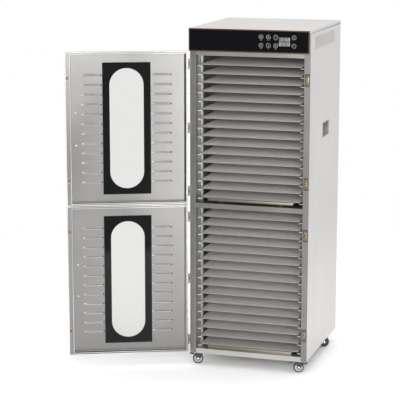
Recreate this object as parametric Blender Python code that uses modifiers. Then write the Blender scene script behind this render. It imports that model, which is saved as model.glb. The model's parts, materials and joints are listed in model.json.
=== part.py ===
"""Two-bay tray cabinet on casters, modelled at real size in metres, +Z up.

Casing coordinates: X runs from the left side to the right, Y from the front posts to the back,
Z up from the underside of the casing. An empty carries them into the part's own frame, whose
origin is the centre of the whole object's box on the floor, with both doors open as stored.
"""

import math

import bmesh
import bpy
from mathutils import Matrix, Vector

# Casing
WIDTH = 0.520
DEPTH = 0.580
HEIGHT = 1.415
SKIN = 0.0012
GAP = 0.0003
POST_WIDTH = 0.026
BASE_PLATE = 0.0025
LID_LIP = 0.0115
SEAM = 0.001
FLOOR_TOP = 0.022
DIVIDER_BOTTOM = 0.647
DIVIDER_TOP = 0.668
CEILING_BOTTOM = 1.300
HEADER_BOTTOM = 1.3195
HEADER_DEPTH = 0.021
FASCIA_THICKNESS = 0.003
FASCIA_MARGIN = 0.0005
WEB_REACH = 0.010

# Doors: hinge axis just outside the front left edge, at half the doors' thickness
HINGE_X = -0.003
HINGE_Y = -0.011
DOOR_OPEN_DEG = 156.6
DOOR_THICKNESS = 0.020
DOOR_EDGE = 0.004
DOOR_WIDTH = 0.515
DOOR_HEIGHT = 0.653
DOOR_BOTTOMS = {"lower": 0.0095, "upper": 0.6655}
LIP_HINGE_SIDE = 0.0065
LIP_FREE_EDGE = 0.020
LIP_TOP_BOTTOM = 0.009
WINDOW_SIZE = (0.144, 0.513)
GLASS_SIZE = (0.203, 0.562)
GLASS_THICKNESS = 0.004
LOUVRE_SIZE = (0.078, 0.009)
LOUVRE_PITCH = 0.0414
LOUVRE_COUNT = 12
LOUVRE_OFFSET = 0.1476
HANDLE_INSET = 0.0418
HANDLE_SPACING = 0.138
HANDLE_REACH = 0.035
HANDLE_RADIUS = 0.0055
HANDLE_BEND = 0.012
HINGE_OFFSET = 0.272
HINGE_HEIGHT = 0.042
HINGE_LEAF = 0.0016
LEAF_FRONT = -0.0065
LEAF_BACK = 0.030
KNUCKLE_RADIUS = 0.0032
KNUCKLE_MIDDLE = 0.014
CATCH_OFFSET = 0.2175
CATCH_SLOT = (0.009, 0.046)

# Flush pulls in the sides
PULL_CENTRE = (0.297, 0.968)
PULL_SIZE = (0.118, 0.058)

# Trays, racks and fans
TRAY_COUNT = 16
TRAY_PITCH = 0.038
FIRST_RIM_TOP = {"lower": 0.0405, "upper": 0.693}
TRAY_WIDTH = 0.442
TRAY_FRONT = 0.020
TRAY_DEPTH = 0.420
TRAY_HEIGHT = 0.006
TRAY_RIM = 0.006
TRAY_FLOOR = 0.0005
PAN_DROP = 0.0005
PAN_WIDTH = 0.398
PAN_DEPTH = 0.400
PAN_FRONT = 0.022
PAN_HEIGHT = 0.009
PAN_TAPER = 0.012
PAN_WALL = 0.0015
RUNNER_INSET = 0.130
RUNNER_WIDTH = 0.012
RUNNER_ENDS = (0.030, 0.430)
RACK_WIRE = 0.0045
RACK_SIDE = 0.0275
RACK_REACH = 0.019
RACK_FRONT = 0.012
RACK_DEPTH = 0.429
RUNG_HEIGHT = 0.0035
RACK_BAR_INSETS = (0.030, 0.060)
FAN_Y = 0.500
FAN_RADIUS = 0.100
FAN_BLADES = 5
BLADE_SIZE = (0.0016, 0.048)
BLADE_PITCH_DEG = 28.0
FAN_HUB = (0.026, 0.022)
SHAFT_RADIUS = 0.004
SHAFT_CLEARANCE = 0.002

# Casters
CASTER_HEIGHT = 0.058
WHEEL_RADIUS = 0.0225
WHEEL_WIDTH = 0.018
TYRE_CHAMFER = 0.0025
AXLE_RADIUS = 0.0035
FORK_CLEARANCE = 0.0015
FORK_WALL = 0.0025
FORK_LEG = (0.018, 0.007)
FORK_CROWN = (-0.013, 0.023, 0.004)
CASTER_TRAIL = 0.012
CASTER_PLATE = (0.058, 0.056, 0.002)
FRONT_INSET = 0.033
REAR_INSET = 0.036
CASTERS = {
    "front_left": (FRONT_INSET, 0.047, 198.0),
    "front_right": (WIDTH - FRONT_INSET, 0.047, 198.0),
    "rear_left": (REAR_INSET, 0.450, 18.0),
    "rear_right": (WIDTH - REAR_INSET, 0.450, 18.0),
}

# Power inlet in the back
INLET_CENTRE = (0.430, 0.105)
INLET_SIZE = (0.048, 0.030)
INLET_PROUD = 0.002
INLET_DEPTH = 0.018
SOCKET_SIZE = (0.030, 0.020)
SOCKET_DEPTH = 0.015

BODY_DEPTH = DEPTH - SKIN - GAP
SIDE_BOTTOM = BASE_PLATE + GAP
SIDE_TOP = HEIGHT - LID_LIP - SEAM
INNER_LEFT = POST_WIDTH + GAP
INNER_RIGHT = WIDTH - POST_WIDTH - GAP
FACE = DOOR_THICKNESS / 2
BIG = 1.0
LAP = 0.0002


def collection(name):
    made = bpy.data.collections.new(name)
    bpy.context.scene.collection.children.link(made)
    return made


def material(name, colour, roughness, metallic):
    made = bpy.data.materials.new(name)
    made.use_nodes = True
    shader = made.node_tree.nodes["Principled BSDF"]
    shader.inputs["Base Color"].default_value = (*colour, 1.0)
    shader.inputs["Roughness"].default_value = roughness
    shader.inputs["Metallic"].default_value = metallic
    return made


for old in list(bpy.data.objects):
    bpy.data.objects.remove(old, do_unlink=True)

PARTS = collection("proofing_cabinet")
CUTTERS = collection("cutters")
STEEL = material("stainless_steel", (0.66, 0.66, 0.65), 0.35, 1.0)
DARK_STEEL = material("inner_steel", (0.52, 0.52, 0.50), 0.40, 1.0)
WIRE = material("bright_wire", (0.72, 0.72, 0.71), 0.25, 1.0)
FASCIA = material("fascia_black", (0.010, 0.010, 0.012), 0.10, 0.0)
GLASS = material("door_glass", (0.03, 0.03, 0.03), 0.05, 0.0)
RUBBER = material("wheel_rubber", (0.03, 0.03, 0.035), 0.60, 0.0)
BLACK = material("caster_black", (0.02, 0.02, 0.02), 0.45, 0.0)
FAN = material("fan_aluminium", (0.60, 0.61, 0.62), 0.40, 1.0)


def empty(name, parent, location, degrees=0.0):
    """A named frame, turned about Z, that pieces are placed in."""
    made = bpy.data.objects.new(name, None)
    PARTS.objects.link(made)
    made.parent = parent
    made.location = location
    made.rotation_euler = (0.0, 0.0, math.radians(degrees))
    return made


def add(name, mesh, parent, look=None, location=(0.0, 0.0, 0.0)):
    """A finished piece, or a cutter where no look is given."""
    made = bpy.data.objects.new(name, mesh)
    (PARTS if look else CUTTERS).objects.link(made)
    made.parent = parent
    made.location = location
    if look:
        mesh.materials.append(look)
    else:
        made.hide_render = True
        made.display_type = "WIRE"
    return made


def mesh_of(name, build):
    """A mesh from a function that fills a bmesh."""
    work = bmesh.new()
    build(work)
    mesh = bpy.data.meshes.new(name)
    work.to_mesh(mesh)
    work.free()
    return mesh


def add_box(work, low, high, turn=None):
    low, high = Vector(low), Vector(high)
    matrix = Matrix.Translation((low + high) / 2) @ Matrix.Diagonal((*(high - low), 1.0))
    bmesh.ops.create_cube(work, size=1.0, matrix=(turn @ matrix) if turn else matrix)


def add_cylinder(work, centre, radius, length, axis="Z", segments=12):
    turns = {"Z": Matrix.Identity(4), "Y": Matrix.Rotation(math.radians(90), 4, "X")}
    matrix = Matrix.Translation(centre) @ turns[axis]
    bmesh.ops.create_cone(work, cap_ends=True, segments=segments, radius1=radius, radius2=radius,
                          depth=length, matrix=matrix)


def boxes(name, corners, parent, look=None):
    """One object of separate boxes, each given by its lowest and highest corner."""
    def build(work):
        for low, high in corners:
            add_box(work, low, high)
    return add(name, mesh_of(name, build), parent, look)


def combine(target, other, operation):
    step = target.modifiers.new(f"{operation.lower()} {other.name}", "BOOLEAN")
    step.operation = operation
    step.object = other
    step.solver = "EXACT"


def cut(target, other):
    combine(target, other, "DIFFERENCE")


def join(target, other):
    combine(target, other, "UNION")


def mirrored(corners):
    """The same box on the other side of the casing's middle plane."""
    (x0, y0, z0), (x1, y1, z1) = corners
    return (WIDTH - x1, y0, z0), (WIDTH - x0, y1, z1)


def origin_offset():
    """From the casing's corner to the part's origin: the middle of the box round the open doors."""
    angle = math.radians(-DOOR_OPEN_DEG)
    corners = [Vector((DOOR_EDGE + DOOR_WIDTH, side * FACE)) for side in (-1, 1)]
    tips = [Matrix.Rotation(angle, 2) @ corner for corner in corners]
    left = HINGE_X + min(tip.x for tip in tips)
    front = HINGE_Y + min(tip.y for tip in tips)
    return -(left + WIDTH) / 2, -(front + DEPTH + INLET_PROUD) / 2, CASTER_HEIGHT


CASING = empty("casing_frame", None, origin_offset())


def make_side(name, flip):
    """A double wall: outer skin, front post and inner wall, folded from one sheet."""
    def at(low, high):
        return mirrored((low, high)) if flip else (low, high)

    side = boxes(name, [at((0, 0, SIDE_BOTTOM), (POST_WIDTH, BODY_DEPTH, SIDE_TOP))], CASING, STEEL)
    hollow = at((SKIN, SKIN, -BIG), (POST_WIDTH - SKIN, BIG, 2 * BIG))
    cut(side, boxes(name + "_hollow", [hollow], CASING))
    y, z = PULL_CENTRE
    wide, tall = PULL_SIZE
    pull = at((-SKIN, y - wide / 2, z - tall / 2), (2 * SKIN, y + wide / 2, z + tall / 2))
    cut(side, boxes(name + "_pull_hole", [pull], CASING))
    return side


def door_middles():
    return [bottom + DOOR_HEIGHT / 2 for bottom in DOOR_BOTTOMS.values()]


def hinge_levels():
    return [middle + step * HINGE_OFFSET for middle in door_middles() for step in (-1, 0, 1)]


def knuckle_spans(level):
    """The two outer knuckles of a hinge, which belong to the casing."""
    outer = KNUCKLE_MIDDLE / 2 + GAP
    return [(level - HINGE_HEIGHT / 2, level - outer), (level + outer, level + HINGE_HEIGHT / 2)]


def make_left_side():
    """The left side carries the casing's half of every hinge."""
    side = make_side("left_side_panel", flip=False)
    leaves, tabs = [], []
    half = HINGE_HEIGHT / 2
    for level in hinge_levels():
        leaves.append(((-HINGE_LEAF, LEAF_FRONT, level - half), (SKIN / 2, LEAF_BACK, level + half)))
        for low, high in knuckle_spans(level):
            tabs.append(((LAP - HINGE_LEAF, HINGE_Y, low + LAP), (-LAP, LEAF_FRONT + HINGE_LEAF, high - LAP)))

    def knuckles(work):
        for level in hinge_levels():
            for low, high in knuckle_spans(level):
                add_cylinder(work, (HINGE_X, HINGE_Y, (low + high) / 2), KNUCKLE_RADIUS, high - low)

    join(side, boxes("hinge_leaves", leaves, CASING))
    join(side, boxes("hinge_tabs", tabs, CASING))
    join(side, add("hinge_knuckles", mesh_of("hinge_knuckles", knuckles), CASING))


def make_right_side():
    """The right post has a slot for each ball catch."""
    side = make_side("right_side_panel", flip=True)
    x = WIDTH - POST_WIDTH / 2
    wide, tall = CATCH_SLOT
    slots = []
    for middle in door_middles():
        for level in (middle - CATCH_OFFSET, middle + CATCH_OFFSET):
            low = (x - wide / 2, -SKIN, level - tall / 2)
            slots.append((low, (x + wide / 2, 2 * SKIN, level + tall / 2)))
    cut(side, boxes("catch_slots", slots, CASING))


def pan_level(bay):
    """Underside of a bay's drip tray, which lies just under the lowest mesh tray."""
    return FIRST_RIM_TOP[bay] - TRAY_HEIGHT - PAN_DROP - PAN_HEIGHT


def runners(floor):
    """Two low ribs on a bay's floor that carry the drip tray."""
    bay = "lower" if floor == FLOOR_TOP else "upper"
    top = pan_level(bay) - GAP
    front, back = RUNNER_ENDS
    ribs = []
    for x in (RUNNER_INSET, WIDTH - RUNNER_INSET):
        ribs.append(((x - RUNNER_WIDTH / 2, front, floor - SKIN / 2), (x + RUNNER_WIDTH / 2, back, top)))
    return ribs


def make_base():
    """Bottom plate, bay floor with its front rail, drip tray runners and the caster plates."""
    base = boxes("base_panel", [((0, 0, 0), (WIDTH, BODY_DEPTH, BASE_PLATE))], CASING, STEEL)
    join(base, boxes("bay_floor", [((INNER_LEFT, 0, 0), (INNER_RIGHT, BODY_DEPTH, FLOOR_TOP))], CASING))
    hollow = ((INNER_LEFT + SKIN, SKIN, BASE_PLATE), (INNER_RIGHT - SKIN, BIG, FLOOR_TOP - SKIN))
    cut(base, boxes("bay_floor_hollow", [hollow], CASING))
    join(base, boxes("lower_runners", runners(FLOOR_TOP), CASING))
    plates = []
    for x, y, _ in CASTERS.values():
        half_x, half_y, thick = CASTER_PLATE[0] / 2, CASTER_PLATE[1] / 2, CASTER_PLATE[2]
        plates.append(((x - half_x, y - half_y, -thick), (x + half_x, y + half_y, BASE_PLATE / 2)))
    join(base, boxes("caster_plates", plates, CASING))


def make_divider():
    low, high = (INNER_LEFT, 0, DIVIDER_BOTTOM), (INNER_RIGHT, BODY_DEPTH, DIVIDER_TOP)
    divider = boxes("bay_divider", [(low, high)], CASING, STEEL)
    hollow = ((low[0] + SKIN, SKIN, low[2] + SKIN), (high[0] - SKIN, BIG, high[2] - SKIN))
    cut(divider, boxes("divider_hollow", [hollow], CASING))
    join(divider, boxes("upper_runners", runners(DIVIDER_TOP), CASING))


def make_header():
    """The control housing over the doors, and the ceiling duct of the upper bay behind it."""
    front = -HEADER_DEPTH + FASCIA_THICKNESS + GAP
    header = boxes("header_box", [((0, front, HEADER_BOTTOM), (WIDTH, -GAP, SIDE_TOP))], CASING, STEEL)
    trough = ((SKIN, front + SKIN, HEADER_BOTTOM + SKIN), (WIDTH - SKIN, BIG, 2 * BIG))
    cut(header, boxes("header_trough", [trough], CASING))
    duct = ((INNER_LEFT, 0, CEILING_BOTTOM), (INNER_RIGHT, BODY_DEPTH, HEADER_BOTTOM))
    ceiling = boxes("ceiling_duct", [duct], CASING)
    left, right = INNER_LEFT + SKIN, INNER_RIGHT - SKIN
    hollow = ((left, SKIN, CEILING_BOTTOM + SKIN), (right, BIG, HEADER_BOTTOM - SKIN))
    cut(ceiling, boxes("ceiling_hollow", [hollow], CASING))
    join(header, ceiling)
    seam = SKIN - 2 * LAP
    web = ((left, -WEB_REACH, HEADER_BOTTOM - seam), (right, WEB_REACH, HEADER_BOTTOM + seam))
    join(header, boxes("header_web", [web], CASING))


def make_fascia():
    low = (FASCIA_MARGIN, -HEADER_DEPTH, HEADER_BOTTOM + GAP)
    high = (WIDTH - FASCIA_MARGIN, -HEADER_DEPTH + FASCIA_THICKNESS, HEIGHT - GAP)
    boxes("control_fascia", [(low, high)], CASING, FASCIA)


def make_top_cover():
    front = -HEADER_DEPTH + FASCIA_THICKNESS + GAP
    cover = boxes("top_cover", [((0, front, HEIGHT - LID_LIP), (WIDTH, DEPTH, HEIGHT))], CASING, STEEL)
    hollow = ((SKIN, -BIG, 0), (WIDTH - SKIN, DEPTH - SKIN, HEIGHT - SKIN))
    cut(cover, boxes("cover_hollow", [hollow], CASING))


def make_back():
    """The back sheet with the power inlet's housing let into it."""
    back = boxes("back_panel", [((0, DEPTH - SKIN, 0), (WIDTH, DEPTH, SIDE_TOP))], CASING, STEEL)
    x, z = INLET_CENTRE
    wide, tall = INLET_SIZE
    low = (x - wide / 2, DEPTH - INLET_DEPTH, z - tall / 2)
    housing = (low, (x + wide / 2, DEPTH + INLET_PROUD, z + tall / 2))
    join(back, boxes("inlet_housing", [housing], CASING))
    wide, tall = SOCKET_SIZE
    socket = ((x - wide / 2, DEPTH - SOCKET_DEPTH, z - tall / 2), (x + wide / 2, BIG, z + tall / 2))
    cut(back, boxes("inlet_socket", [socket], CASING))


def make_window_cutter(name, parent, middle):
    """A stadium: a tall box with a half round at each end, through the door's skin."""
    wide, tall = WINDOW_SIZE
    radius = wide / 2
    x = DOOR_EDGE + DOOR_WIDTH / 2

    def straight(work):
        add_box(work, (x - radius, -FACE - SKIN, middle - tall / 2 + radius),
                (x + radius, -FACE + 2 * SKIN, middle + tall / 2 - radius))

    def ends(work):
        for z in (middle - tall / 2 + radius, middle + tall / 2 - radius):
            add_cylinder(work, (x, -FACE + SKIN / 2, z), radius, 3 * SKIN, "Y", 32)

    window = add(name, mesh_of(name, straight), parent)
    join(window, add(name + "_ends", mesh_of(name + "_ends", ends), parent))
    return window


def make_door_pan(bay, frame, bottom):
    """A shallow folded pan with inward lips, a window, louvre slots and the door's hinge knuckles."""
    name = bay + "_door_panel"
    left, right, top = DOOR_EDGE, DOOR_EDGE + DOOR_WIDTH, bottom + DOOR_HEIGHT
    middle = bottom + DOOR_HEIGHT / 2
    pan = boxes(name, [((left, -FACE, bottom), (right, FACE, top))], frame, STEEL)
    inside = ((left + SKIN, -FACE + SKIN, bottom + SKIN), (right - SKIN, FACE - SKIN, top - SKIN))
    cut(pan, boxes(name + "_inside", [inside], frame))
    low = (left + LIP_HINGE_SIDE, 0, bottom + LIP_TOP_BOTTOM)
    mouth = (low, (right - LIP_FREE_EDGE, BIG, top - LIP_TOP_BOTTOM))
    cut(pan, boxes(name + "_mouth", [mouth], frame))
    cut(pan, make_window_cutter(name + "_window", frame, middle))
    slots = []
    wide, tall = LOUVRE_SIZE
    for side in (-1, 1):
        x = (left + right) / 2 + side * LOUVRE_OFFSET
        for step in range(LOUVRE_COUNT):
            z = middle + (step - (LOUVRE_COUNT - 1) / 2) * LOUVRE_PITCH
            low = (x - wide / 2, -FACE - SKIN, z - tall / 2)
            slots.append((low, (x + wide / 2, -FACE + 2 * SKIN, z + tall / 2)))
    cut(pan, boxes(name + "_louvres", slots, frame))

    levels = [middle + step * HINGE_OFFSET for step in (-1, 0, 1)]
    half, thick = KNUCKLE_MIDDLE / 2 - LAP, HINGE_LEAF / 2
    leaves = [((0, -thick, z - half), (left + SKIN / 2, thick, z + half)) for z in levels]

    def knuckles(work):
        for z in levels:
            add_cylinder(work, (0, 0, z), KNUCKLE_RADIUS, KNUCKLE_MIDDLE)

    join(pan, boxes(name + "_leaves", leaves, frame))
    join(pan, add(name + "_knuckles", mesh_of(name + "_knuckles", knuckles), frame))


def make_handle(bay, frame, middle):
    """A bent round bar that stands off the door's outer face on two feet."""
    foot = HANDLE_SPACING / 2
    path = [(-FACE - GAP, -foot)]
    for end in (-1, 1):
        steps = (0, 1, 2, 3) if end < 0 else (3, 2, 1, 0)
        for step in steps:
            turn = math.radians(30 * step)
            y = -FACE - HANDLE_REACH + HANDLE_BEND * (1 - math.sin(turn))
            path.append((y, end * (foot - HANDLE_BEND * (1 - math.cos(turn)))))
    path.append((-FACE - GAP, foot))
    curve = bpy.data.curves.new(bay + "_door_handle", "CURVE")
    curve.dimensions = "3D"
    curve.bevel_depth = HANDLE_RADIUS
    curve.bevel_resolution = 2
    curve.use_fill_caps = True
    spline = curve.splines.new("POLY")
    spline.points.add(len(path) - 1)
    for point, (y, z) in zip(spline.points, path):
        point.co = (0.0, y, z, 1.0)
    handle = bpy.data.objects.new(bay + "_door_handle", curve)
    PARTS.objects.link(handle)
    curve.materials.append(WIRE)
    handle.parent = frame
    handle.location = (DOOR_EDGE + DOOR_WIDTH - HANDLE_INSET, 0.0, middle)


def make_door(bay):
    bottom = DOOR_BOTTOMS[bay]
    middle = bottom + DOOR_HEIGHT / 2
    frame = empty(bay + "_door_hinge", CASING, (HINGE_X, HINGE_Y, 0.0), -DOOR_OPEN_DEG)
    make_door_pan(bay, frame, bottom)
    x = DOOR_EDGE + DOOR_WIDTH / 2
    near = -FACE + SKIN + GAP
    wide, tall = GLASS_SIZE
    low = (x - wide / 2, near, middle - tall / 2)
    pane = (low, (x + wide / 2, near + GLASS_THICKNESS, middle + tall / 2))
    boxes(bay + "_door_glass", [pane], frame, GLASS)
    make_handle(bay, frame, middle)


def dished(work, width, depth, height, taper, wall, floor, open_top):
    """A shallow tray: a box whose open side is inset by the wall and pushed in to the floor."""
    add_box(work, (-width / 2, 0, 0), (width / 2, depth, height))
    for vertex in work.verts:
        if taper and vertex.co.z < height / 2:
            vertex.co.x -= math.copysign(taper, vertex.co.x)
            vertex.co.y += taper if vertex.co.y < depth / 2 else -taper
    work.faces.ensure_lookup_table()
    up = 1 if open_top else -1
    mouth = max(work.faces, key=lambda face: up * face.calc_center_median().z)
    bmesh.ops.inset_region(work, faces=[mouth], thickness=wall, use_even_offset=True)
    pushed = bmesh.ops.extrude_face_region(work, geom=[mouth])
    moved = [item for item in pushed["geom"] if isinstance(item, bmesh.types.BMVert)]
    bmesh.ops.delete(work, geom=[mouth], context="FACES_ONLY")
    bmesh.ops.translate(work, verts=moved, vec=(0, 0, -up * (height - floor)))
    for vertex in moved:
        if taper:
            vertex.co.x -= math.copysign(taper, vertex.co.x)
            vertex.co.y += taper if vertex.co.y < depth / 2 else -taper
    bmesh.ops.recalc_face_normals(work, faces=work.faces)


def make_trays(bay):
    """Mesh trays, solid-floored here, and the solid drip tray under the lowest of them."""
    mesh = mesh_of(bay + "_tray", lambda work: dished(
        work, TRAY_WIDTH, TRAY_DEPTH, TRAY_HEIGHT, 0.0, TRAY_RIM, TRAY_FLOOR, open_top=False))
    mesh.materials.append(WIRE)
    for index in range(TRAY_COUNT):
        tray = bpy.data.objects.new(f"{bay}_tray_{index + 1:02d}", mesh)
        PARTS.objects.link(tray)
        tray.parent = CASING
        level = FIRST_RIM_TOP[bay] + index * TRAY_PITCH - TRAY_HEIGHT
        tray.location = (WIDTH / 2, TRAY_FRONT, level)
    pan = mesh_of(bay + "_drip_tray", lambda work: dished(
        work, PAN_WIDTH, PAN_DEPTH, PAN_HEIGHT, PAN_TAPER, PAN_WALL, PAN_WALL, open_top=True))
    add(bay + "_drip_tray", pan, CASING, STEEL, (WIDTH / 2, PAN_FRONT, pan_level(bay)))


def comb_mesh(name, bay, bottom, top, flip):
    """Front view of one side of a rack: an upright with a tooth under each tray, drawn as an outline."""
    curve = bpy.data.curves.new(name, "CURVE")
    curve.dimensions = "2D"
    curve.fill_mode = "BOTH"
    curve.extrude = RACK_DEPTH / 2
    inner, tip = RACK_SIDE + RACK_WIRE, RACK_SIDE + RACK_REACH
    points = [(RACK_SIDE, top), (RACK_SIDE, bottom), (inner, bottom)]
    for index in range(TRAY_COUNT):
        high = FIRST_RIM_TOP[bay] + index * TRAY_PITCH - TRAY_HEIGHT - GAP
        low = high - RUNG_HEIGHT
        points += [(inner, low), (tip, low), (tip, high), (inner, high)]
    points.append((inner, top))
    spline = curve.splines.new("POLY")
    spline.points.add(len(points) - 1)
    spline.use_cyclic_u = True
    for point, (x, z) in zip(spline.points, points):
        point.co = (x, z, 0.0, 1.0)
    shape = bpy.data.objects.new(name, curve)
    CUTTERS.objects.link(shape)
    bpy.context.view_layer.update()
    graph = bpy.context.evaluated_depsgraph_get()
    mesh = bpy.data.meshes.new_from_object(shape.evaluated_get(graph))
    bpy.data.objects.remove(shape, do_unlink=True)
    work = bmesh.new()
    work.from_mesh(mesh)
    bmesh.ops.remove_doubles(work, verts=work.verts, dist=0.00001)
    bmesh.ops.rotate(work, verts=work.verts, cent=(0, 0, 0), matrix=Matrix.Rotation(math.radians(90), 3, "X"))
    bmesh.ops.translate(work, verts=work.verts, vec=(0, RACK_FRONT + RACK_DEPTH / 2, 0))
    if flip:
        bmesh.ops.scale(work, verts=work.verts, vec=(-1, 1, 1))
        bmesh.ops.translate(work, verts=work.verts, vec=(WIDTH, 0, 0))
    bmesh.ops.recalc_face_normals(work, faces=work.faces)
    work.to_mesh(mesh)
    work.free()
    return mesh


def make_ladder(name, bay, bottom, top, flip, look=None):
    """One side of a rack, opened between its front and back uprights so that only the rungs run through."""
    ladder = add(name, comb_mesh(name, bay, bottom, top, flip), CASING, look)
    inner = RACK_SIDE + RACK_REACH - RACK_WIRE
    back = RACK_FRONT + RACK_DEPTH
    between = ((-BIG, RACK_FRONT + RACK_WIRE, -BIG), (inner, back - RACK_WIRE, 2 * BIG))
    cut(ladder, boxes(name + "_gap", [mirrored(between) if flip else between], CASING))
    return ladder


def make_rack(bay, bottom, top):
    """Two wire ladders whose rungs carry the trays, tied together by two bars behind the trays."""
    name = bay + "_wire_rack"
    bottom, top = bottom + GAP, top - GAP
    rack = make_ladder(name, bay, bottom, top, False, WIRE)
    left, right = RACK_SIDE + 5 * LAP, WIDTH - RACK_SIDE - 5 * LAP
    near = RACK_FRONT + RACK_DEPTH - 5 * LAP
    above, below = RACK_BAR_INSETS
    bars = []
    for level in (bottom + above, top - below):
        bars.append(((left, near, level), (right, near + RACK_WIRE, level + RACK_WIRE)))
    join(rack, boxes(name + "_bars", bars, CASING))
    join(rack, make_ladder(name + "_right", bay, bottom, top, True))


def make_fan(bay, bottom, top):
    """An axial fan behind the trays: hub, blades and the shaft towards the back panel."""
    name = bay + "_fan"
    frame = empty(name + "_axis", CASING, (WIDTH / 2, FAN_Y, (bottom + top) / 2))
    hub_radius, hub_length = FAN_HUB
    thick, chord = BLADE_SIZE

    def core(work):
        add_cylinder(work, (0, 0, 0), hub_radius, hub_length, "Y", 20)

    def shaft(work):
        length = BODY_DEPTH - FAN_Y - SHAFT_CLEARANCE
        add_cylinder(work, (0, length / 2, 0), SHAFT_RADIUS, length, "Y", 10)

    def blades(work):
        root = hub_radius - SHAFT_RADIUS
        for index in range(FAN_BLADES):
            around = Matrix.Rotation(math.tau * index / FAN_BLADES, 4, "Y")
            pitch = Matrix.Rotation(math.radians(BLADE_PITCH_DEG), 4, "X")
            add_box(work, (root, -thick / 2, -chord / 2), (FAN_RADIUS, thick / 2, chord / 2), around @ pitch)

    rotor = add(name, mesh_of(name, core), frame, FAN)
    join(rotor, add(name + "_blades", mesh_of(name + "_blades", blades), frame))
    join(rotor, add(name + "_shaft", mesh_of(name + "_shaft", shaft), frame))


def wheel_mesh():
    """Half section of the tyre and its hub, from the tread down and back along the bore."""
    half, bore = WHEEL_WIDTH / 2, AXLE_RADIUS + GAP
    shoulder, tread = WHEEL_RADIUS - TYRE_CHAMFER, half - TYRE_CHAMFER
    profile = [(shoulder, half), (WHEEL_RADIUS, tread), (WHEEL_RADIUS, -tread), (shoulder, -half)]
    profile += [(bore, -half), (bore, half)]

    def build(work):
        points = [work.verts.new((radius, 0, z)) for radius, z in profile]
        for first, second in zip(points, points[1:] + points[:1]):
            work.edges.new((first, second))
    return mesh_of("caster_wheel", build)


def make_caster(place, x, y, degrees, wheel):
    """A swivel fork with its axle, and a wheel that trails behind the swivel's axis."""
    swivel = empty(f"caster_swivel_{place}", CASING, (x, y, 0.0), degrees)
    axle = -CASTER_HEIGHT + WHEEL_RADIUS
    inner = WHEEL_WIDTH / 2 + FORK_CLEARANCE
    outer = inner + FORK_WALL
    crown_front, crown_back, crown_thick = FORK_CROWN
    leg_width, leg_drop = FORK_LEG
    crown_top = -CASTER_PLATE[2] - 2 * GAP
    name = f"caster_fork_{place}"
    crown = ((crown_front, -outer, crown_top - crown_thick), (crown_back, outer, crown_top))
    fork = boxes(name, [crown], swivel, BLACK)
    legs = []
    for low, high in ((LAP - outer, -inner), (inner, outer - LAP)):
        foot = (CASTER_TRAIL - leg_width / 2, low, axle - leg_drop)
        legs.append((foot, (CASTER_TRAIL + leg_width / 2, high, crown_top - crown_thick / 2)))
    join(fork, boxes(name + "_legs", legs, swivel))

    def pin(work):
        add_cylinder(work, (CASTER_TRAIL, 0, axle), AXLE_RADIUS, 2 * outer - 4 * LAP, "Y", 12)

    join(fork, add(name + "_axle", mesh_of(name + "_axle", pin), swivel))
    tyre = bpy.data.objects.new(f"caster_wheel_{place}", wheel)
    PARTS.objects.link(tyre)
    tyre.parent = swivel
    tyre.location = (CASTER_TRAIL, 0, axle)
    tyre.rotation_euler = (math.radians(90), 0, 0)
    spin = tyre.modifiers.new("turned", "SCREW")
    spin.steps = spin.render_steps = 20
    spin.use_merge_vertices = True
    spin.merge_threshold = 0.00005


make_left_side()
make_right_side()
make_base()
make_divider()
make_header()
make_fascia()
make_top_cover()
make_back()
BAYS = (("lower", FLOOR_TOP, DIVIDER_BOTTOM), ("upper", DIVIDER_TOP, CEILING_BOTTOM))
for bay_name, floor_level, roof_level in BAYS:
    make_door(bay_name)
    make_trays(bay_name)
    make_rack(bay_name, floor_level, roof_level)
    make_fan(bay_name, floor_level, roof_level)
caster_wheel = wheel_mesh()
caster_wheel.materials.append(RUBBER)
for place_name, (caster_x, caster_y, heading) in CASTERS.items():
    make_caster(place_name, caster_x, caster_y, heading, caster_wheel)
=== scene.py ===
"""Looks of the two-bay tray cabinet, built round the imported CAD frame, in metres.

Most places are given in casing coordinates, as at(x, y, z): X from the casing's left side, Y back from
the front posts, Z up from the casing's underside. A door's pieces are placed in the door's own frame,
as it lies when closed: x along the door from the hinge axis, y from its outer face inwards.
"""

import json
import math

import bmesh
import bpy
from mathutils import Matrix, Vector


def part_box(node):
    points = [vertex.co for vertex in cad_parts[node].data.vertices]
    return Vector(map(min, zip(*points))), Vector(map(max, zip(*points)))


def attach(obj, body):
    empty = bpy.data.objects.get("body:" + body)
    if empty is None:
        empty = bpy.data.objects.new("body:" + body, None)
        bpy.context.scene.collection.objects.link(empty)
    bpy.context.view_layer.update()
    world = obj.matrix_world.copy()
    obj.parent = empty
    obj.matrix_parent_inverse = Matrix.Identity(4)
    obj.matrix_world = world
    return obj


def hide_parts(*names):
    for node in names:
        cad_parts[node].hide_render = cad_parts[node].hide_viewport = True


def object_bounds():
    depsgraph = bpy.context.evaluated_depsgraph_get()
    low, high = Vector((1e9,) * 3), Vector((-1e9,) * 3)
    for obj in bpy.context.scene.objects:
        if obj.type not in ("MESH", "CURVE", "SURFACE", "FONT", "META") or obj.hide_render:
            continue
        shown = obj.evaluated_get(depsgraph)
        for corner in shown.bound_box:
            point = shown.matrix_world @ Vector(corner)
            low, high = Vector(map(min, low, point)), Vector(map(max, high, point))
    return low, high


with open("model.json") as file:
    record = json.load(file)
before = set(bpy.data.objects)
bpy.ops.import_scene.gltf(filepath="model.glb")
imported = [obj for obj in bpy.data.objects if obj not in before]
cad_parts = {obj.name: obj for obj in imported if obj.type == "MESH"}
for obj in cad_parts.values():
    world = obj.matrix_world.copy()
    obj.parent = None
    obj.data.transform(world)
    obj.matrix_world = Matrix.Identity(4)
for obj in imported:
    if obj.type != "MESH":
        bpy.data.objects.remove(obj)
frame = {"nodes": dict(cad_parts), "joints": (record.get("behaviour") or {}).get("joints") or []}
cad_low, cad_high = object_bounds()

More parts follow.
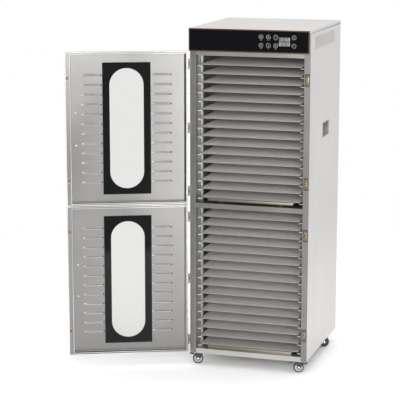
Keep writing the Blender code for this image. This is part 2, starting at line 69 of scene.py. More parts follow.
# Places read from the frame
COVER_LOW, COVER_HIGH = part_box("top_cover")
ORIGIN = Vector((COVER_LOW.x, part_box("right_side_panel")[0].y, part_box("back_panel")[0].z))
WIDTH = COVER_HIGH.x - ORIGIN.x
DEPTH = COVER_HIGH.y - ORIGIN.y
HEIGHT = COVER_HIGH.z - ORIGIN.z
FLOOR_Z = cad_low.z
JOINTS = {joint["name"]: joint for joint in frame["joints"]}

BAYS = ("lower", "upper")
SIDES = (("left", 0.0, -1), ("right", WIDTH, 1))  # name, X of its outer face, way out
PLACES = ("front_left", "front_right", "rear_left", "rear_right")
BRAKED = "front_right"
TRAY_COUNT = 16

# The doors' folded pans
SKIN = 0.0012
FACE = 0.010  # the outer face lies this far before the pan's middle plane, the lips end as far behind it
INNER_FACE = -FACE + SKIN
DOOR_EDGE = 0.004  # from the hinge axis to the pan
DOOR_WIDTH = 0.515
DOOR_HEIGHT = 0.653
HINGE_OFFSET = 0.272  # from the door's middle to its outer hinges
LOUVRE_PITCH = 0.0414
LOUVRE_COUNT = 12
LOUVRE_OFFSET = 0.1476  # from the door's centre line
LOUVRE_SIZE = (0.078, 0.009)
WINDOW_SIZE = (0.203, 0.562)
CLEAR_SIZE = (0.144, 0.513)
HANDLE_INSET = 0.0418
HANDLE_SPACING = 0.138

# Ball catches, as far above and below each door's middle
CATCH_OFFSET = 0.2175
CATCH_INSET = 0.013

# Pull cups, Y and Z
PULL_CENTRE = (0.297, 0.968)
PULL_SIZE = (0.118, 0.058)


def at(x, y, z):
    """A point in casing coordinates, in the frame's own."""
    return ORIGIN + Vector((x, y, z))


def plain(x, y, z):
    """A point as it stands."""
    return Vector((x, y, z))


def inward(node):
    """A CAD node's box in casing coordinates."""
    low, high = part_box(node)
    return low - ORIGIN, high - ORIGIN


def door_middle(bay):
    """The height of a door's middle, in casing coordinates."""
    low, high = inward(f"{bay}_door_panel")
    return (low.z + high.z) / 2


# ---------------------------------------------------------------- materials


def shader(name, colour, metallic=0.0, roughness=0.4):
    """A material and its Principled shader, with the values that are the same all over set on it."""
    made = bpy.data.materials.new(name)
    made.use_nodes = True
    principled = made.node_tree.nodes["Principled BSDF"]
    principled.inputs["Base Color"].default_value = (*colour, 1.0)
    principled.inputs["Metallic"].default_value = metallic
    principled.inputs["Roughness"].default_value = roughness
    return made, principled


def noise(tree, scale, stretch=(1.0, 1.0, 1.0), detail=3.0):
    """Noise over the object's own coordinates, stretched so that a small factor makes a long grain."""
    nodes, links = tree.nodes, tree.links
    where = nodes.new("ShaderNodeTexCoord")
    mapping = nodes.new("ShaderNodeMapping")
    mapping.inputs["Scale"].default_value = stretch
    texture = nodes.new("ShaderNodeTexNoise")
    texture.inputs["Scale"].default_value = scale
    texture.inputs["Detail"].default_value = detail
    links.new(where.outputs["Object"], mapping.inputs["Vector"])
    links.new(mapping.outputs["Vector"], texture.inputs["Vector"])
    return texture.outputs["Fac"]


def ramp(tree, source, low, high, start=0.3, end=0.7):
    """Maps a factor to the range between two values."""
    made = tree.nodes.new("ShaderNodeMapRange")
    made.inputs["From Min"].default_value = start
    made.inputs["From Max"].default_value = end
    made.inputs["To Min"].default_value = low
    made.inputs["To Max"].default_value = high
    tree.links.new(source, made.inputs["Value"])
    return made.outputs["Result"]


def blend_colours(tree, factor, first, second):
    """Mixes two colours by a factor."""
    made = tree.nodes.new("ShaderNodeMix")
    made.data_type = "RGBA"
    made.inputs["A"].default_value = (*first, 1.0)
    made.inputs["B"].default_value = (*second, 1.0)
    tree.links.new(factor, made.inputs["Factor"])
    return made.outputs["Result"]


def bump(tree, principled, height, strength, distance=0.0005):
    """Fine relief from a height."""
    made = tree.nodes.new("ShaderNodeBump")
    made.inputs["Strength"].default_value = strength
    made.inputs["Distance"].default_value = distance
    tree.links.new(height, made.inputs["Height"])
    tree.links.new(made.outputs["Normal"], principled.inputs["Normal"])


# How each grain stretches its noise, and the scales of the noise
GRAINS = {"X": (0.012, 1.0, 1.0), "Y": (1.0, 0.012, 1.0), "Z": (1.0, 1.0, 0.012)}
BRUSH_SCALE = 900.0
STAIN_SCALE = 4.5
EVEN = (1.0, 1.0, 1.0)


def brushed(name, colour, roughness, grain="Z", strength=0.10, spread=0.10):
    """Brushed sheet: fine grain along one axis, faint cloudy stains and handling marks."""
    made, principled = shader(name, colour, 1.0, roughness)
    tree = made.node_tree
    fine = noise(tree, BRUSH_SCALE, GRAINS[grain], 4.0)
    cloud = noise(tree, STAIN_SCALE, (1.0, 1.0, 0.6), 5.0)
    dark = tuple(channel * 0.86 for channel in colour)
    light = tuple(min(channel * 1.07, 1.0) for channel in colour)
    mixed = tree.nodes.new("ShaderNodeMath")
    mixed.operation = "MULTIPLY_ADD"
    mixed.inputs[1].default_value = 0.45
    tree.links.new(fine, mixed.inputs[0])
    tree.links.new(ramp(tree, cloud, 0.05, 0.60), mixed.inputs[2])
    tree.links.new(blend_colours(tree, mixed.outputs[0], dark, light), principled.inputs["Base Color"])
    rough = ramp(tree, mixed.outputs[0], roughness - spread / 2, roughness + spread / 2, 0.2, 0.9)
    tree.links.new(rough, principled.inputs["Roughness"])
    bump(tree, principled, fine, strength, 0.0003)
    return made


def wire_steel(name, colour, roughness, metallic=1.0):
    """Drawn stainless wire: bright, with dull patches where it was welded and washed."""
    made, principled = shader(name, colour, metallic, roughness)
    tree = made.node_tree
    cloud = noise(tree, 38.0)
    fine = noise(tree, 1500.0, EVEN, 2.0)
    dark = tuple(channel * 0.78 for channel in colour)
    tree.links.new(blend_colours(tree, cloud, dark, colour), principled.inputs["Base Color"])
    tree.links.new(ramp(tree, cloud, roughness + 0.10, roughness - 0.06), principled.inputs["Roughness"])
    bump(tree, principled, fine, 0.12, 0.0002)
    return made


def moulded(name, colour, roughness, grain=650.0, strength=0.25, coat=0.0):
    """Moulded plastic or rubber with a fine texture and slight dust."""
    made, principled = shader(name, colour, 0.0, roughness)
    tree = made.node_tree
    cloud = noise(tree, 30.0, EVEN, 4.0)
    fine = noise(tree, grain, EVEN, 2.0)
    dusty = tuple(channel * 1.5 + 0.012 for channel in colour)
    tree.links.new(blend_colours(tree, cloud, colour, dusty), principled.inputs["Base Color"])
    tree.links.new(ramp(tree, cloud, roughness - 0.05, roughness + 0.10), principled.inputs["Roughness"])
    bump(tree, principled, fine, strength, 0.0002)
    principled.inputs["Coat Weight"].default_value = coat
    return made


def glossy_black(name, colour, roughness):
    """Back-printed black glass or overlay: deep gloss with faint smears and specks of dust."""
    made, principled = shader(name, colour, 0.0, roughness)
    tree = made.node_tree
    smear = noise(tree, 9.0, (1.0, 1.0, 0.5), 4.0)
    speck = noise(tree, 700.0, EVEN, 2.0)
    rough = ramp(tree, smear, roughness, roughness + 0.04, 0.35, 0.8)
    tree.links.new(rough, principled.inputs["Roughness"])
    dusty = tuple(channel + 0.003 for channel in colour)
    dust = ramp(tree, speck, 0.0, 1.0, 0.60, 0.85)
    tree.links.new(blend_colours(tree, dust, colour, dusty), principled.inputs["Base Color"])
    principled.inputs["Specular IOR Level"].default_value = 0.22
    return made


def clear_glass(name):
    made, principled = shader(name, (0.80, 0.80, 0.79), 0.0, 0.02)
    tree = made.node_tree
    principled.inputs["Transmission Weight"].default_value = 1.0
    principled.inputs["IOR"].default_value = 1.12
    smear = noise(tree, 11.0, (1.0, 1.0, 0.4), 4.0)
    tree.links.new(ramp(tree, smear, 0.0, 0.02, 0.4, 0.9), principled.inputs["Roughness"])
    return made


STEEL = brushed("casing_steel", (0.61, 0.60, 0.59), 0.36, "Z")
# A darker copy of the casing steel for the posts' front faces: painted shade
SHADED_POST_STEEL = brushed("post_steel", (0.235, 0.23, 0.224), 0.44, "Z")
BASE_STEEL = brushed("base_steel", (0.50, 0.49, 0.475), 0.40, "X")
# A lighter copy of the door steel for the door's rolled edges and the louvres' bright end dimples:
# painted highlight
HIGHLIGHT_STEEL = brushed("lip_steel", (0.78, 0.78, 0.77), 0.34, "Z", 0.05)
DIVIDER_STEEL = brushed("divider_steel", (0.25, 0.245, 0.235), 0.42, "X")
RAIL_STEEL = brushed("rail_steel", (0.33, 0.32, 0.305), 0.40, "X")
DOOR_STEEL = brushed("door_steel", (0.255, 0.25, 0.243), 0.31, "Z", 0.03, 0.06)
# Painted lighter than the door sheet the hoods are pressed from: painted light
LIGHTER_HOOD_STEEL = brushed("hood_steel", (0.66, 0.66, 0.65), 0.42, "X", 0.05)
PAN_STEEL = brushed("pan_steel", (0.27, 0.25, 0.21), 0.45, "X")
WIRE = wire_steel("bright_wire", (0.78, 0.78, 0.77), 0.32, 0.6)
TRAY_WIRE = wire_steel("tray_wire", (0.45, 0.44, 0.425), 0.55, 0.15)
# A darker copy of the tray wire for the trays' rims: painted shade
SHADED_RIM_WIRE = wire_steel("rim_wire", (0.32, 0.315, 0.305), 0.48, 0.4)
# Dark steel for screws and the strikes' prongs, also used as painted shade: on the catches' frames and
# balls, the louvres' dark end dimples and the drip trays' runner ends
DARK_STEEL_AND_SHADE = wire_steel("dark_screw", (0.10, 0.085, 0.065), 0.40)
SCREW = wire_steel("screw_steel", (0.74, 0.74, 0.74), 0.25)
BRASS = wire_steel("brass", (0.52, 0.42, 0.26), 0.30)
AGED_BRASS = wire_steel("aged_brass", (0.22, 0.18, 0.11), 0.42)
COPPER = brushed("copper_trim", (0.17, 0.080, 0.048), 0.35, "X", 0.06)
FASCIA = glossy_black("fascia_overlay", (0.0028, 0.0028, 0.0036), 0.03)
BORDER = glossy_black("glass_border", (0.0030, 0.0038, 0.0038), 0.05)
GLASS = clear_glass("window_glass")
PRINT = moulded("key_print", (0.34, 0.34, 0.34), 0.45, 900.0, 0.05)
DISPLAY = moulded("display", (0.23, 0.24, 0.24), 0.30, 900.0, 0.05)
DIGIT = moulded("digit", (0.012, 0.012, 0.014), 0.35, 900.0, 0.05)
# Black plastic for trim, shoes and forks; also black sheets standing in for the dark openings behind the
# vents and the catches' pockets: painted shade
BLACK_PLASTIC_AND_SHADE = moulded("black_plastic", (0.018, 0.018, 0.020), 0.42)
RUBBER = moulded("tyre_rubber", (0.030, 0.030, 0.034), 0.62, 500.0, 0.4)
GREY = moulded("wheel_grey", (0.34, 0.35, 0.37), 0.40)
# Black and grey strips standing in for shade, under the cover's lip and inside the door pans; the grey
# one also paints the pull cups' lighter lower part, painted light
SHADE_BLACK = moulded("door_seal", (0.016, 0.016, 0.016), 0.70, 400.0, 0.4)
PAINTED_GREY = moulded("door_seal_grey", (0.16, 0.155, 0.15), 0.65, 400.0, 0.4)
# The pull cups near-black: painted shade in the recess
SHADED_CUP = moulded("pull_cup_grey", (0.016, 0.017, 0.020), 0.60, 500.0, 0.3)
ALUMINIUM = brushed("fan_aluminium", (0.62, 0.63, 0.64), 0.42, "X")


# ---------------------------------------------------------------- mesh tools


def finished_mesh(name, work, angle):
    """Turns a filled bmesh into a smooth mesh with sharp edges past that angle."""
    bmesh.ops.recalc_face_normals(work, faces=work.faces)
    mesh = bpy.data.meshes.new(name)
    work.to_mesh(mesh)
    work.free()
    mesh.shade_smooth()
    mesh.set_sharp_from_angle(angle=math.radians(angle))
    return mesh


def place_mesh(name, mesh, body, matrix=None, replaces=()):
    """A named object on that mesh, which may be shared, riding on a body."""
    made = bpy.data.objects.new(name, mesh)
    bpy.context.scene.collection.objects.link(made)
    if matrix is not None:
        made.matrix_world = matrix
    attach(made, body)
    if replaces:
        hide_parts(*replaces)
    return made


def piece(name, work, looks, slot, body="root", matrix=None, angle=35.0, replaces=()):
    """Turns a filled bmesh into a piece with those materials, riding on a body."""
    mesh = finished_mesh(name, work, angle)
    for look in looks:
        mesh.materials.append(look)
    return place_mesh(name, mesh, body, matrix, replaces)


def around(centre, half):
    """The lowest and highest place of something centred there."""
    return centre - half, centre + half


def circle(radius, count, start=0.0):
    """Points (u, v) round a circle; start moves the first one by that many steps."""
    angles = [math.tau * (step + start) / count for step in range(count)]
    return [(radius * math.cos(angle), radius * math.sin(angle)) for angle in angles]


def rounded_outline(width, depth, radius, steps=5):
    """Points (u, v) round a rectangle with round corners, centred on 0."""
    points = []
    for sx, sy, start in ((1, 1, 0), (-1, 1, 90), (-1, -1, 180), (1, -1, 270)):
        cx, cy = sx * (width / 2 - radius), sy * (depth / 2 - radius)
        for step in range(steps + 1):
            angle = math.radians(start + 90 * step / steps)
            points.append((cx + radius * math.cos(angle), cy + radius * math.sin(angle)))
    return points


def hoop(outline, x, y, z, put=at):
    """An outline's points, round (x, z) in the plane at y."""
    return [put(x + u, y, z + v) for u, v in outline]


def facing(place, way, base=Matrix()):
    """A frame there whose Z points along Y: to the back where way is 1, to the front where it is -1."""
    return base @ Matrix.Translation(place) @ Matrix.Rotation(-way * math.pi / 2, 4, "X")


def band(work, first, second, look=0):
    """Quads between two rings with as many points each; returns the faces."""
    made = []
    for step in range(len(first)):
        after = (step + 1) % len(first)
        face = work.faces.new((first[step], first[after], second[after], second[step]))
        face.material_index = look
        made.append(face)
    return made


def add_grid(work, grid):
    """Quads between the neighbouring lines of a grid of vertices."""
    for first, second in zip(grid, grid[1:]):
        for step in range(len(first) - 1):
            work.faces.new((first[step], second[step], second[step + 1], first[step + 1]))


def add_box(work, low, high, rounding=0.0, segments=2, look=0, turn=None):
    """A box with rounded edges."""
    low, high = Vector(low), Vector(high)
    matrix = Matrix.Translation((low + high) / 2) @ Matrix.Diagonal((*(high - low), 1.0))
    made = bmesh.ops.create_cube(work, size=1.0, matrix=(turn @ matrix) if turn else matrix)
    verts = made["verts"]
    for face in {face for vertex in verts for face in vertex.link_faces}:
        face.material_index = look
    if rounding:
        edges = {edge for vertex in verts for edge in vertex.link_edges}
        rounded = bmesh.ops.bevel(work, geom=list(edges), offset=rounding, segments=segments,
                                  affect="EDGES", profile=0.5)
        for face in rounded["faces"]:
            face.material_index = look


def add_slab(work, across, along, up, rounding=0.0, segments=2, look=0):
    """A box in casing coordinates, from its two ends in X, in Y and in Z."""
    low, high = zip(sorted(across), sorted(along), sorted(up))
    add_box(work, at(*low), at(*high), rounding, segments, look)


def add_tube(work, points, radius, sides=8, closed=False, look=0):
    """A round bar along a line of points, with mitred turns and flat ends."""
    points = [Vector(point) for point in points]
    count = len(points)
    rings = []
    side = None
    for index, point in enumerate(points):
        before = points[index - 1] if index or closed else point
        after = points[(index + 1) % count] if index < count - 1 or closed else point
        along_in, along_out = (point - before).normalized(), (after - point).normalized()
        along = (along_in + along_out).normalized()
        if side is None:
            side = along.orthogonal().normalized()
        side = (side - along * side.dot(along)).normalized()
        other = along.cross(side)
        bend = along_in if along_in.length else along_out
        widen = 1.0 / max(bend.dot(along), 0.5)
        turn_axis = along_in.cross(along_out)
        ring = []
        for u, v in circle(1.0, sides, 0.5):
            offset = (side * u + other * v) * radius
            if turn_axis.length > 1e-6:
                across = turn_axis.normalized().cross(along)
                offset += across * offset.dot(across) * (widen - 1.0)
            ring.append(work.verts.new(point + offset))
        rings.append(ring)
    for first, second in zip(rings, rings[1:] + rings[:1] if closed else rings[1:]):
        band(work, first, second, look)
    if not closed:
        work.faces.new(rings[0]).material_index = look
        work.faces.new(rings[-1][::-1]).material_index = look


def add_turned(work, profile, matrix, segments=32, look=0):
    """A solid of revolution about the matrix's Z: profile points are (radius, z); radius 0 closes it."""
    rings = []
    for radius, z in profile:
        points = [(0, 0)] if radius < 1e-6 else circle(radius, segments)
        rings.append([work.verts.new(matrix @ Vector((u, v, z))) for u, v in points])
    for first, second in zip(rings, rings[1:]):
        for step in range(segments):
            corner = [first[step % len(first)], first[(step + 1) % len(first)],
                      second[(step + 1) % len(second)], second[step % len(second)]]
            unique = list(dict.fromkeys(corner))
            if len(unique) > 2:
                work.faces.new(unique).material_index = look
    for ring, order in ((rings[0], 1), (rings[-1], -1)):
        if len(ring) > 2:
            work.faces.new(ring[::order]).material_index = look


def add_screw(work, centre, axis, radius=0.0035, look=0):
    """A low domed screw head."""
    matrix = Matrix.Translation(centre) @ Vector(axis).to_track_quat("Z", "Y").to_matrix().to_4x4()
    profile = [(radius, -0.0004), (radius, radius * 0.12), (radius * 0.80, radius * 0.36),
               (radius * 0.45, radius * 0.48), (0.0, radius * 0.50)]
    add_turned(work, profile, matrix, 14, look)


# ---------------------------------------------------------------- casing


def dress_cad_nodes():
    """Better finishes on the CAD nodes whose shapes stay."""
    finishes = {"left_side_panel": STEEL, "right_side_panel": STEEL, "top_cover": STEEL,
                "back_panel": STEEL, "base_panel": BASE_STEEL, "bay_divider": DIVIDER_STEEL,
                "header_box": RAIL_STEEL, "lower_door_panel": DOOR_STEEL,
                "upper_door_panel": DOOR_STEEL}
    for node, look in finishes.items():
        mesh = frame["nodes"][node].data
        mesh.materials.clear()
        mesh.materials.append(look)
    # A second finish on the faces that look to the front and lie behind that Y, both painted shade: the
    # posts in a darker copy of the casing steel, and the ends of the drip trays' runners in near-black
    second = {"left_side_panel": (SHADED_POST_STEEL, -DEPTH), "right_side_panel": (SHADED_POST_STEEL, -DEPTH),
              "base_panel": (DARK_STEEL_AND_SHADE, 0.025), "bay_divider": (DARK_STEEL_AND_SHADE, 0.025)}
    for node, (look, start) in second.items():
        mesh = frame["nodes"][node].data
        mesh.materials.append(look)
        for face in mesh.polygons:
            if face.normal.y < -0.9 and face.center.y > ORIGIN.y + start:
                face.material_index = 1


def perforated(work, width, height, pitch, hole, put):
    """A flat sheet of square cells, each with an eight-sided hole; put turns (u, v) into a point."""
    columns, rows = int(width / pitch), int(height / pitch)
    left, bottom = -columns * pitch / 2, -rows * pitch / 2
    grid = {}

    def corner(column, row):
        if (column, row) not in grid:
            grid[column, row] = work.verts.new(put(left + column * pitch, bottom + row * pitch))
        return grid[column, row]

    for column in range(columns):
        for row in range(rows):
            cx, cy = left + (column + 0.5) * pitch, bottom + (row + 0.5) * pitch
            ring = [work.verts.new(put(cx + u, cy + v)) for u, v in circle(hole, 8, 0.5)]
            corners = [corner(column + 1, row + 1), corner(column, row + 1),
                       corner(column, row), corner(column + 1, row)]
            for index in range(4):
                here, there = corners[index], corners[(index + 1) % 4]
                a, b, c = ring[2 * index], ring[2 * index + 1], ring[(2 * index + 2) % 8]
                work.faces.new((here, b, a))
                work.faces.new((here, there, c, b))


def side_vents():
    """A perforated screen high on each side, over a black sheet: painted shade standing in for the dark
    opening.
    """
    y0, y1, z0, z1 = 0.09, 0.46, 1.330, 1.3835
    pitch, hole, edge = 0.0052, 0.00135, 0.001
    for side, x, out in SIDES:
        work = bmesh.new()
        middle = at(x + out * 0.0006, (y0 + y1) / 2, (z0 + z1) / 2)
        perforated(work, y1 - y0, z1 - z0, pitch, hole, lambda u, v: middle + Vector((0, u, v)))
        piece(f"{side}_side_vent", work, [STEEL], "steel")
        # A black sheet under the screen: painted shade where the holes would show the dark inside
        work = bmesh.new()
        add_slab(work, (x, x + out * 0.0003), (y0 + edge, y1 - edge), (z0 + edge, z1 - edge))
        piece(f"{side}_side_vent_painted_shade", work, [BLACK_PLASTIC_AND_SHADE], "black_trim")


def lid_shadow_line():
    """A black strip under the cover's lip, painted shade standing in for its shadow line; it widens
    towards the back.
    """
    z = HEIGHT - 0.0118
    ends = ((0.004, 0.0009), (DEPTH - 0.001, 0.0026))  # Y and height of the strip
    work = bmesh.new()
    for _, x, out in SIDES:
        # The strip is painted shade under the lip
        near, far = x - out * 0.0006, x + out * 0.0005
        front, back = [[work.verts.new(at(px, y, z + dz))
                        for px, dz in ((near, 0.0), (far, 0.0), (far, -tall), (near, -tall))]
                       for y, tall in ends]
        work.faces.new(front)
        work.faces.new(back[::-1])
        band(work, front, back)
    piece("lid_sealant", work, [SHADE_BLACK], "black_trim")


def pull_cups():
    """A flush pull let into each side: a raised rim, a cup painted near-black as painted shade in the
    recess, and its lower part painted lighter as painted light.
    """
    y, z = PULL_CENTRE
    wide, tall = PULL_SIZE
    # Rings from the rim in: added width and height, way out, corner radius, lift
    levels = ((0.008, 0.008, 0.0, 0.005, 0.0), (0.007, 0.007, 0.0014, 0.0045, 0.0),
              (-0.002, -0.002, 0.0018, 0.004, 0.0), (-0.005, -0.005, 0.0004, 0.004, 0.0),
              (-0.008, -0.010, -0.0120, 0.004, 0.001), (-0.016, -0.026, -0.0200, 0.004, 0.007))
    # Below this height the cup's faces are painted lighter: painted light on its lower part
    painted_light_below = ORIGIN.z + z - tall * 0.18
    for side, x, out in SIDES:
        work = bmesh.new()
        rings = [[work.verts.new(at(x + out * reach, y + u, z + v + lift))
                  for u, v in rounded_outline(wide + wider, tall + taller, radius)]
                 for wider, taller, reach, radius, lift in levels]
        for level, (first, second) in enumerate(zip(rings, rings[1:])):
            for vertex, face in zip(first, band(work, first, second)):
                face.material_index = 0 if level < 2 else 2 if vertex.co.z < painted_light_below else 1
        work.faces.new(rings[-1]).material_index = 1
        piece(f"{side}_pull_cup", work, [RAIL_STEEL, SHADED_CUP, PAINTED_GREY], "steel")
        work = bmesh.new()
        top = z + tall / 2 - 0.006
        add_slab(work, (x - out * 0.0035, x - out * 0.0185), around(y, wide / 2 - 0.008),
                 (top - 0.020, top), 0.003, 3)
        piece(f"{side}_pull_grip", work, [BLACK_PLASTIC_AND_SHADE], "black_trim")


def catches():
    """Four double ball catches in the right post: dark frame, brass mouth, sprung balls in brass lips;
    the frame and balls are painted dark as painted shade in the catch's hollows.
    """
    x = WIDTH - CATCH_INSET
    half_wide, half_tall, slot_wide, slot_tall = 0.0100, 0.0262, 0.0064, 0.0188
    plate = (-0.0003, 0.0006)
    reach, lip = 0.0042, 0.0034
    ball = [(reach * math.sin(math.pi * step / 10), -reach * math.cos(math.pi * step / 10))
            for step in range(11)]
    for bay in BAYS:
        middle = door_middle(bay)
        for where, level in (("low", middle - CATCH_OFFSET), ("high", middle + CATCH_OFFSET)):
            work = bmesh.new()
            # The frame round the mouth is painted dark: a painted shadow outline
            for side in (-1, 1):
                add_slab(work, (x + side * slot_wide, x + side * half_wide), plate,
                         around(level, half_tall), 0.0003, 1, 2)
                add_slab(work, around(x, slot_wide), plate,
                         (level + side * slot_tall, level + side * half_tall), 0.0003, 1, 2)
            mouth = hoop(rounded_outline(0.0122, 0.0364, 0.0050, 5), x, 0.0012, level)
            add_tube(work, mouth, 0.0015, 8, closed=True)
            add_slab(work, around(x, 0.0042), (0.0065, 0.014), around(level, 0.0225), 0.001)
            # The balls are painted dark: painted shade in the holes they sit in
            for side in (-1, 1):
                place = level + side * 0.0076
                add_turned(work, ball, Matrix.Translation(at(x, 0.0042, place)), 16, 2)
                add_tube(work, hoop(circle(lip, 20), x, 0.0013, place), 0.0010, 6, closed=True)
                add_screw(work, at(x, 0.0007, level + side * 0.0228), (0, -1, 0), 0.0026, 2)
                add_slab(work, around(x, 0.0034), (0.0005, 0.0066),
                         around(level + side * 0.0145, 0.0028), 0.0006, 2, 2)
            piece(f"{bay}_catch_{where}", work, [BRASS, SCREW, DARK_STEEL_AND_SHADE], "brass")
            # A black plate behind the catch: painted shade in its pocket in the post
            work = bmesh.new()
            add_slab(work, around(x, 0.0044), (0.0150, 0.0156), around(level, 0.0228))
            piece(f"{bay}_catch_pocket_shade_{where}", work, [BLACK_PLASTIC_AND_SHADE], "black_trim")


def hinge_pins():
    """A headed pin through each hinge's knuckles, and the leaf's screws on the left side."""
    x, y = (Vector(JOINTS["upper_door_swing"]["pos_m"]) - ORIGIN)[:2]
    head = [(0.0028, -0.0002), (0.0028, 0.0008), (0.0020, 0.0017), (0.0, 0.0020)]
    work = bmesh.new()
    for bay in BAYS:
        for step in (-1, 0, 1):
            level = door_middle(bay) + step * HINGE_OFFSET
            for way in (-1, 1):
                place = at(x, y, level + way * 0.021)
                add_turned(work, head, Matrix.Translation(place) @ Matrix.Diagonal((1, 1, way, 1)), 16)
                add_screw(work, at(-0.0016, 0.017, level + way * 0.011), (-1, 0, 0), 0.0030)
    piece("hinge_pins_and_screws", work, [SCREW], "handle")


def back_details():
    """Rear sheet: a perforated intake with a raised rim behind each fan, each over a black sheet of
    painted shade, edge screws and the inlet.
    """
    vent, pitch, hole = 0.210, 0.0070, 0.0023
    for bay in BAYS:
        low, high = inward(f"{bay}_fan")
        middle = (low.z + high.z) / 2
        work = bmesh.new()
        place = at(WIDTH / 2, DEPTH + 0.0006, middle)
        perforated(work, vent, vent, pitch, hole, lambda u, v: place + Vector((-u, 0, v)))
        rim = [place + Vector((u, 0.0004, v)) for u, v in rounded_outline(0.214, 0.214, 0.006, 4)]
        add_tube(work, rim, 0.0022, 8, closed=True)
        piece(f"{bay}_rear_vent", work, [STEEL], "steel")
        # A black sheet under the intake: painted shade standing in for the dark opening
        work = bmesh.new()
        add_slab(work, around(WIDTH / 2, 0.1045), (DEPTH, DEPTH + 0.0003), around(middle, 0.1045))
        piece(f"{bay}_rear_vent_painted_shade", work, [BLACK_PLASTIC_AND_SHADE], "black_trim")
    work = bmesh.new()
    for x in (0.012, WIDTH - 0.012):
        for step in range(8):
            add_screw(work, at(x, DEPTH, 0.06 + step * (HEIGHT - 0.14) / 7), (0, 1, 0))
    for step in range(1, 4):
        for z in (0.012, HEIGHT - 0.026):
            add_screw(work, at(step * WIDTH / 4, DEPTH, z), (0, 1, 0))
    piece("back_screws", work, [SCREW], "handle")
    work = bmesh.new()
    x, z = 0.430, 0.105  # the inlet
    bezel = hoop(rounded_outline(0.042, 0.026, 0.003, 4), x, DEPTH + 0.0022, z)
    add_tube(work, bezel, 0.0022, 8, closed=True)
    for dx, dz in ((-0.007, -0.003), (0.0, 0.003), (0.007, -0.003)):
        add_slab(work, around(x + dx, 0.001), (DEPTH - 0.0145, DEPTH - 0.001),
                 around(z + dz, 0.002), 0.0004, 2, 1)
    for way in (-1, 1):
        add_screw(work, at(x + way * 0.0195, DEPTH + 0.0020, z), (0, 1, 0), 0.0022, 1)
    piece("inlet_bezel", work, [BLACK_PLASTIC_AND_SHADE, SCREW], "black_trim")


def base_trim():
    """Black corner shoes under the front posts and the bolts of the four caster plates."""
    work = bmesh.new()
    for across in ((-0.0015, 0.016), (WIDTH - 0.016, WIDTH + 0.0015)):
        add_slab(work, across, (-0.0015, 0.016), (-0.0070, 0.0004), 0.0010)
    piece("corner_shoes", work, [BLACK_PLASTIC_AND_SHADE], "black_trim")
    washer = [(0.0045, -0.0002), (0.0045, 0.0006), (0.0042, 0.0008), (0.0, 0.0008)]
    head = [(0.0036, 0.0006), (0.0036, 0.0032), (0.0030, 0.0037), (0.0, 0.0037)]
    down = Matrix.Rotation(math.pi, 4, "X")
    work = bmesh.new()
    for place in PLACES:
        centre = Vector(JOINTS[f"caster_swivel_{place}"]["pos_m"]) - ORIGIN
        for dx in (-0.023, 0.023):
            for dy in (-0.022, 0.022):
                turn = Matrix.Translation(at(centre.x + dx, centre.y + dy, -0.002)) @ down
                add_turned(work, washer, turn, 18)
                add_turned(work, head, turn, 6)
    piece("caster_bolts", work, [SCREW], "handle")


# ---------------------------------------------------------------- control header


SEGMENTS = {"0": "abcdef", "1": "bc", "2": "abged", "3": "abgcd", "5": "afgcd", "6": "afgedc",
            "8": "abcdefg"}

# Each symbol's strokes, as (x0, z0, x1, z1) from its centre
STROKES = {
    "plus": ((-1, 0, 1, 0), (0, -1, 0, 1)),
    "minus": ((-1, 0, 1, 0),),
    "play": ((-0.6, -1, -0.6, 1), (-0.6, 1, 1, 0), (-0.6, -1, 1, 0)),
    "timer": ((0, 0, 0, 1), (0, 0, 0.8, 0)),
    "heat": ((-0.7, -1, -0.7, 1), (0, -1, 0, 1), (0.7, -1, 0.7, 1)),
    "fan": ((-1, -0.6, 1, 0.6), (-1, 0.6, 1, -0.6), (0, -1, 0, 1)),
    "level": ((-1, -0.6, 1, -0.6), (-0.6, 0.2, 0.6, 0.2)),
    "stop": ((-0.8, -0.8, 0.8, -0.8), (0.8, -0.8, 0.8, 0.8), (0.8, 0.8, -0.8, 0.8),
             (-0.8, 0.8, -0.8, -0.8)),
}
KEYS = (("heat", 0.3138, 1.3860), ("fan", 0.3452, 1.3860), ("timer", 0.3766, 1.3860),
        ("play", 0.3138, 1.3515), ("level", 0.3452, 1.3515), ("stop", 0.3766, 1.3515),
        ("plus", 0.4540, 1.3860), ("minus", 0.4540, 1.3515))


def digit(work, look, x, z, y, size, figure):
    """A seven-segment figure, lower left corner at (x, z)."""
    wide, tall, half = size * 0.52, size, size * 0.21 / 2
    bars = {"a": (0, tall, wide, tall), "b": (wide, tall / 2, wide, tall),
            "c": (wide, 0, wide, tall / 2), "d": (0, 0, wide, 0), "e": (0, 0, 0, tall / 2),
            "f": (0, tall / 2, 0, tall), "g": (0, tall / 2, wide, tall / 2)}
    for bar in SEGMENTS[figure]:
        x0, z0, x1, z1 = bars[bar]
        add_slab(work, (x + x0 - half, x + x1 + half), (y - 0.0002, y),
                 (z + z0 - half, z + z1 + half), look=look)


def key_symbol(work, x, z, y, kind):
    """A ring with a plain symbol in it."""
    radius, reach = 0.0087, 0.0033
    add_tube(work, hoop(circle(radius, 28), x, y, z), 0.00062, 5, closed=True)
    for x0, z0, x1, z1 in STROKES[kind]:
        ends = [at(x + x0 * reach, y, z + z0 * reach), at(x + x1 * reach, y, z + z1 * reach)]
        add_tube(work, ends, 0.00045, 5)


